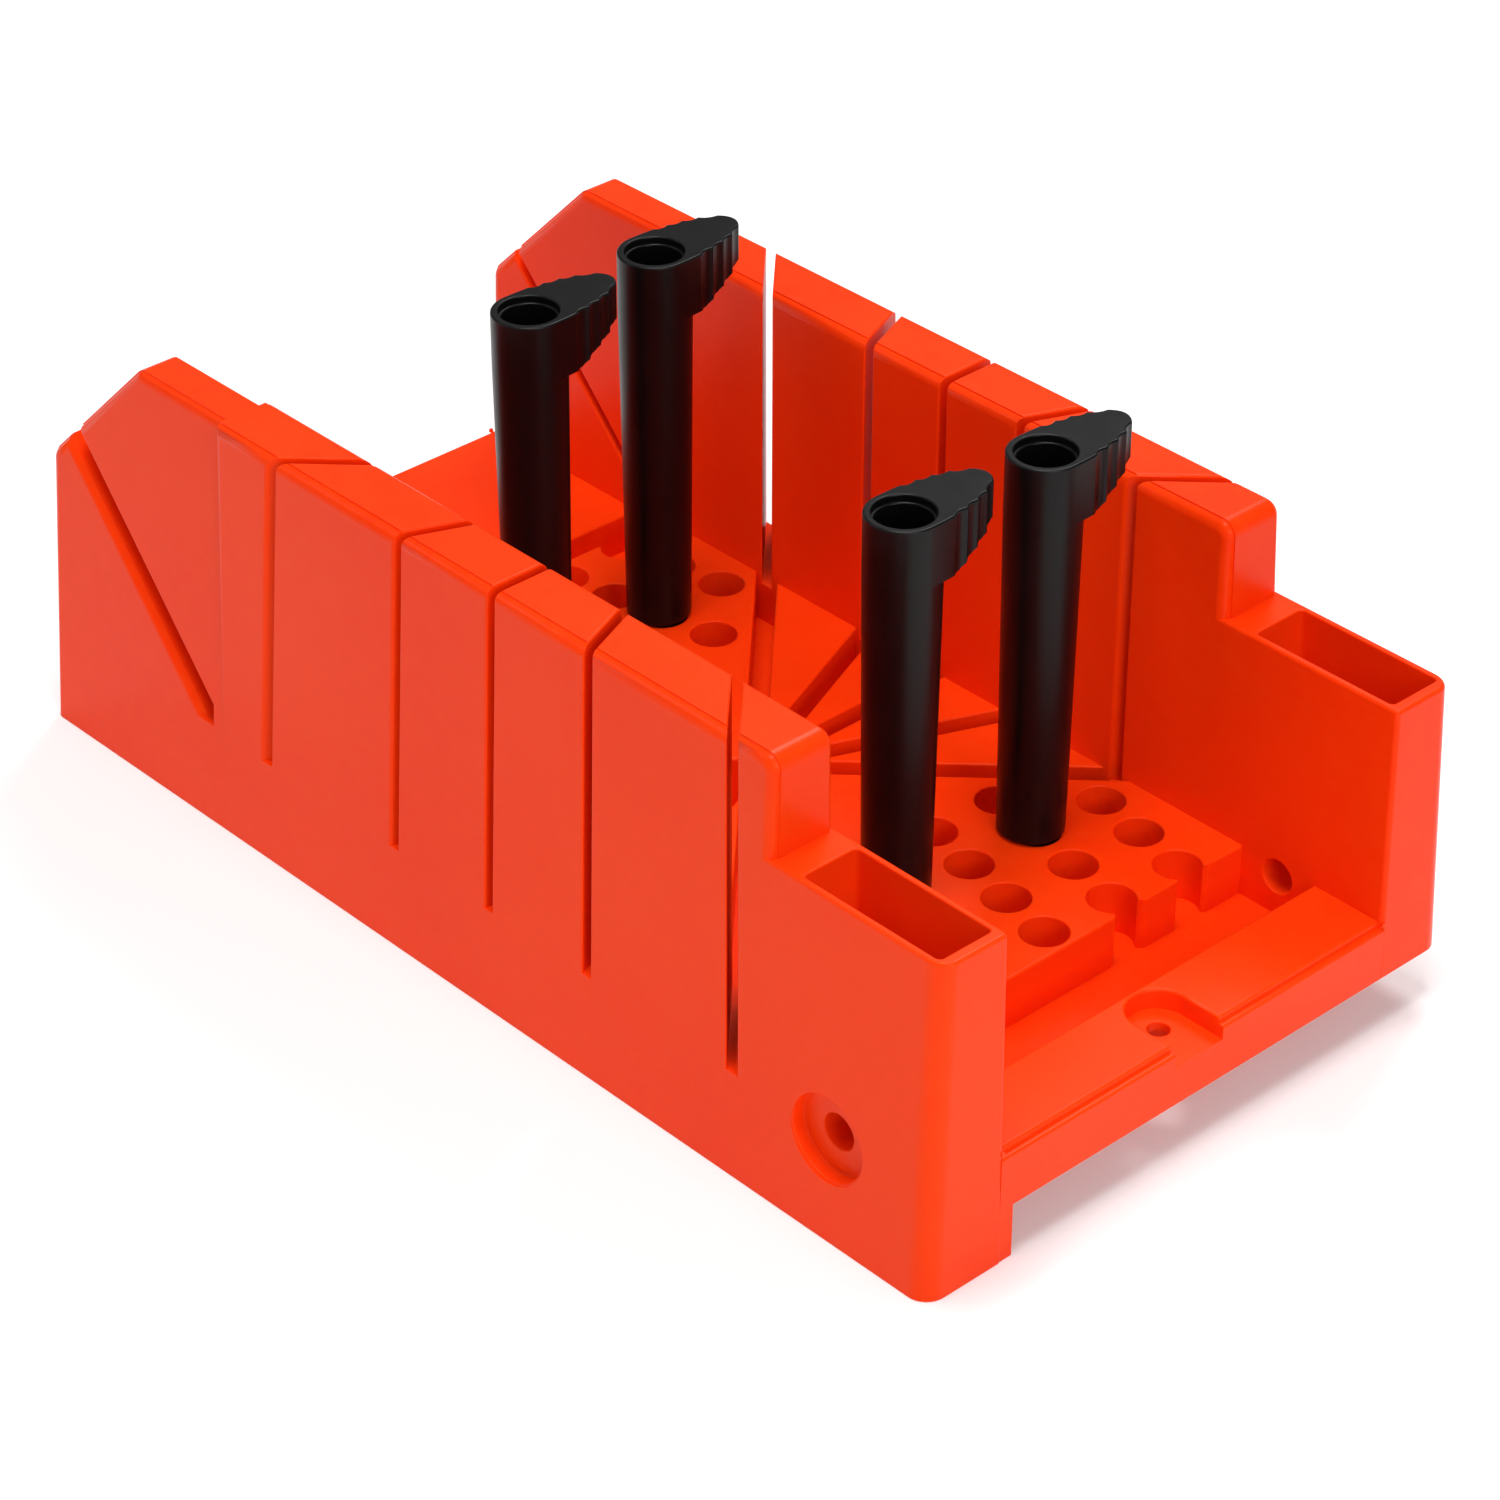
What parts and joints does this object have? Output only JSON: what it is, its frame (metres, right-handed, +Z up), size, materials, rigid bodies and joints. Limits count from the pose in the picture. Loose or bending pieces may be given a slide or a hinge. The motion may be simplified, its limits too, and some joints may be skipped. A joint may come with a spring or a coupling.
{
  "type": "clamping mitre box",
  "caption": "Moulded mitre box with saw cuts at square, 22.5 and 45 degrees and a bevel, a perforated deck and lift-out cam pegs that clamp the board",
  "frame": {"origin": "where the five upright saw cuts cross, on the plane of the base that lies on the bench", "axes": "+X along the box towards the end with the two pockets, +Y from the front fence, which carries the bench hook, to the back fence, +Z up"},
  "size_m": [0.3606, 0.1908, 0.15],
  "materials": {
    "orange_plastic": "orange ABS, satin with a fine moulded grain",
    "black_plastic": "black nylon, satin"
  },
  "bodies": {
    "box": {"mitre_box": "orange_plastic"},
    "peg_1_pin": {"cam_peg_1_spigot": "black_plastic"},
    "peg_1": {"cam_peg_1": "black_plastic"},
    "peg_2_pin": {"cam_peg_2_spigot": "black_plastic"},
    "peg_2": {"cam_peg_2": "black_plastic"},
    "peg_3_pin": {"cam_peg_3_spigot": "black_plastic"},
    "peg_3": {"cam_peg_3": "black_plastic"},
    "peg_4_pin": {"cam_peg_4_spigot": "black_plastic"},
    "peg_4": {"cam_peg_4": "black_plastic"}
  },
  "joints": [
    {"name": "peg_1_lift", "type": "slide", "parent": "box", "child": "peg_1_pin", "axis": [0, 0, 1], "range_m": [0, 0.12]},
    {"name": "peg_1_turn", "type": "hinge", "parent": "peg_1_pin", "child": "peg_1", "pos_m": [-0.0716, -0.0136, 0.0183], "axis": [0, 0, 1], "range_deg": [-120, 120]},
    {"name": "peg_2_lift", "type": "slide", "parent": "box", "child": "peg_2_pin", "axis": [0, 0, 1], "range_m": [0, 0.12]},
    {"name": "peg_2_turn", "type": "hinge", "parent": "peg_2_pin", "child": "peg_2", "pos_m": [-0.0744, 0.0338, 0.0183], "axis": [0, 0, 1], "range_deg": [-120, 120]},
    {"name": "peg_3_lift", "type": "slide", "parent": "box", "child": "peg_3_pin", "axis": [0, 0, 1], "range_m": [0, 0.12]},
    {"name": "peg_3_turn", "type": "hinge", "parent": "peg_3_pin", "child": "peg_3", "pos_m": [0.0716, -0.0136, 0.0183], "axis": [0, 0, 1], "range_deg": [-120, 120]},
    {"name": "peg_4_lift", "type": "slide", "parent": "box", "child": "peg_4_pin", "axis": [0, 0, 1], "range_m": [0, 0.12]},
    {"name": "peg_4_turn", "type": "hinge", "parent": "peg_4_pin", "child": "peg_4", "pos_m": [0.0744, 0.0338, 0.0183], "axis": [0, 0, 1], "range_deg": [-120, 120]}
  ]
}
